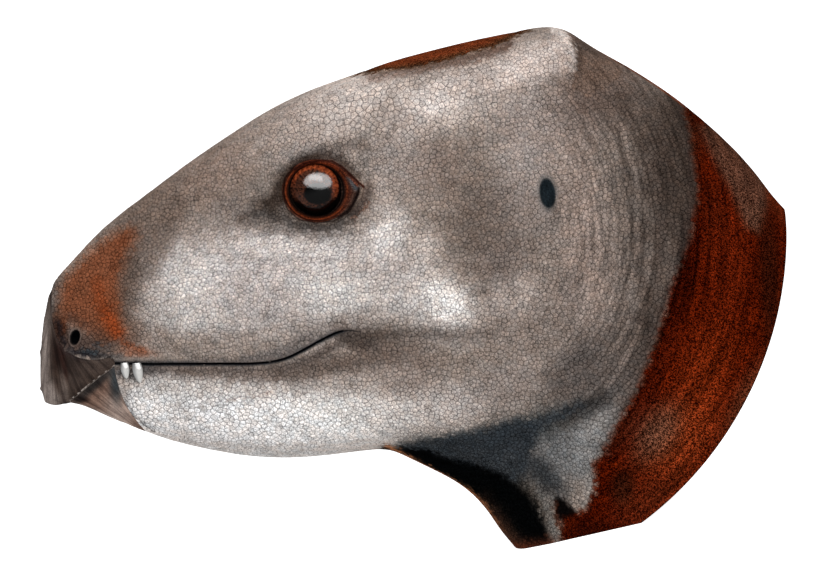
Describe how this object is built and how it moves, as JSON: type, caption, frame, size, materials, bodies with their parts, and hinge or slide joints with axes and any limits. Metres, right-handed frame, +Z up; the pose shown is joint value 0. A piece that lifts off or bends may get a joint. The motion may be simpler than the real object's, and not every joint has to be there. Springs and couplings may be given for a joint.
{
  "type": "dinosaur head",
  "caption": "Life-size head and neck of a small beaked plant-eating dinosaur, in the flesh, cut at the neck with a flat base to stand on.",
  "frame": {"origin": "Under the middle of the bounding box, on the surface that the neck base stands on.", "axes": "-X towards the tip of the beak, +X towards the cut of the neck, -Y the animal's left, +Z up."},
  "size_m": [0.2296, 0.0854, 0.1507],
  "materials": {
    "skin": "dry skin of small many-sided scales, grey-white with rust-red and black",
    "upper_horn": "dark ridged horn, satin",
    "lower_horn": "brown ridged horn, satin",
    "eye": "wet gloss, orange-brown iris and black pupil",
    "tooth": "white enamel, smooth"
  },
  "bodies": {
    "root": {"head": "skin", "upper_beak": "upper_horn", "lower_beak": "lower_horn", "left_eyeball": "eye", "right_eyeball": "eye", "left_front_tooth": "tooth", "left_rear_tooth": "tooth", "right_front_tooth": "tooth", "right_rear_tooth": "tooth"}
  },
  "joints": []
}
